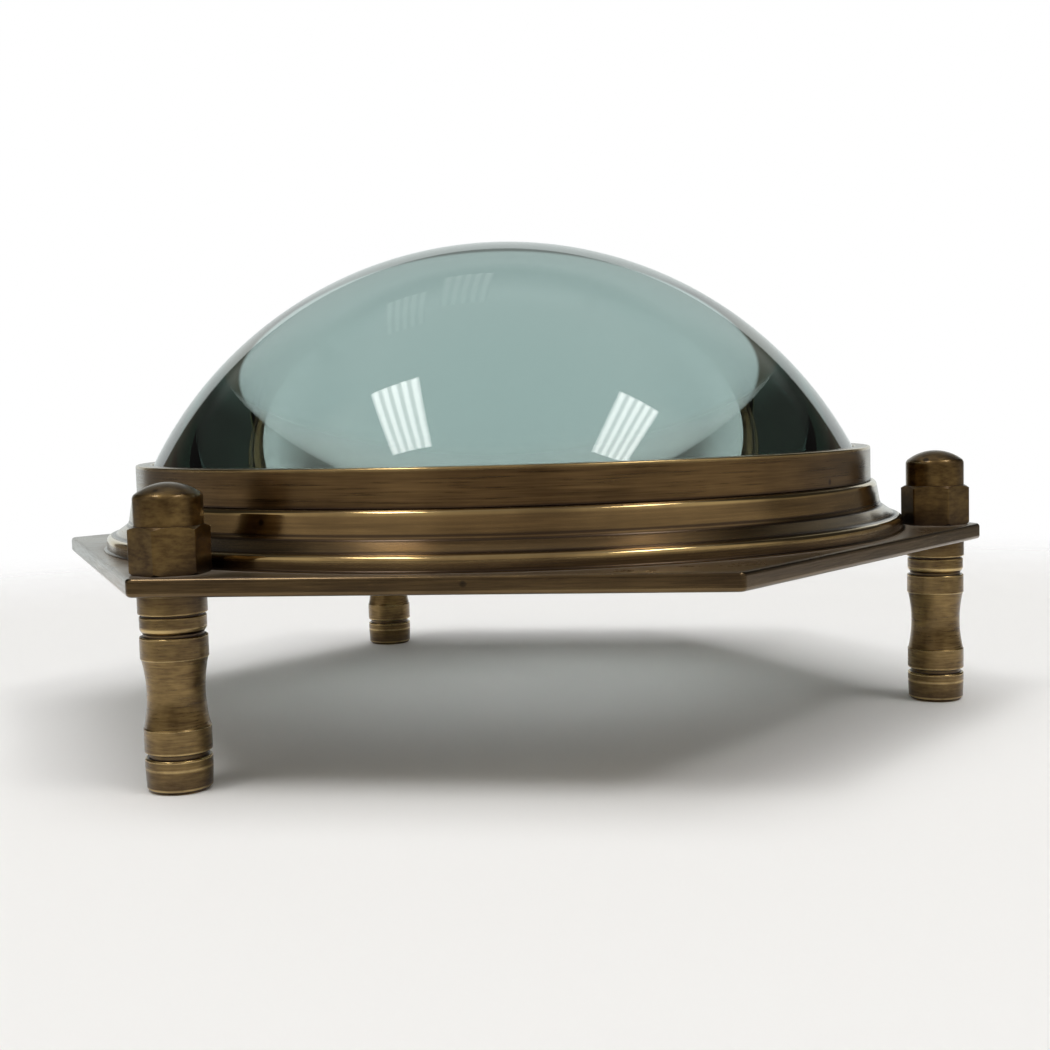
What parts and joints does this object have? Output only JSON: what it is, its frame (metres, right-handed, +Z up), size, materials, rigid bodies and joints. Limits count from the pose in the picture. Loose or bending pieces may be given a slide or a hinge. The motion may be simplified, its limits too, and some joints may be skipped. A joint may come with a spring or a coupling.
{
  "type": "dome magnifier",
  "caption": "Solid glass dome magnifier in a stepped turned brass ring, on a hexagonal brass plate with turned legs and cap nuts.",
  "frame": {"origin": "on the ring's axis, in the plane that the three feet stand on", "axes": "+Z up along the ring's axis, +X from the axis towards one leg, which is also a corner of the plate"},
  "size_m": [0.2064, 0.1792, 0.1019],
  "materials": {
    "lens_glass": "polished, pale aqua tint",
    "gasket_rubber": "matt black sheet",
    "brushed_brass": "antiqued, brushed round the ring",
    "turned_brass": "antiqued, turned and polished",
    "plate_brass": "antiqued, polished, slightly dusty",
    "leg_brass": "antiqued, satin, fine turning marks",
    "nut_brass": "antiqued, dull, with bright worn edges",
    "stud_brass": "machined thread",
    "screw_brass": "machined, lightly tarnished"
  },
  "bodies": {
    "root": {"lens": "lens_glass", "lens_gasket": "gasket_rubber", "bezel_ring": "brushed_brass", "housing_ring": "turned_brass", "base_plate": "plate_brass", "housing_screw_1": "screw_brass", "housing_screw_2": "screw_brass", "housing_screw_3": "screw_brass", "housing_screw_4": "screw_brass", "housing_screw_5": "screw_brass", "housing_screw_6": "screw_brass", "leg_right": "leg_brass", "leg_back_left": "leg_brass", "leg_front_left": "leg_brass", "leg_stud_right": "stud_brass", "leg_stud_back_left": "stud_brass", "leg_stud_front_left": "stud_brass", "cap_nut_right": "nut_brass", "cap_nut_back_left": "nut_brass", "cap_nut_front_left": "nut_brass"}
  },
  "joints": []
}
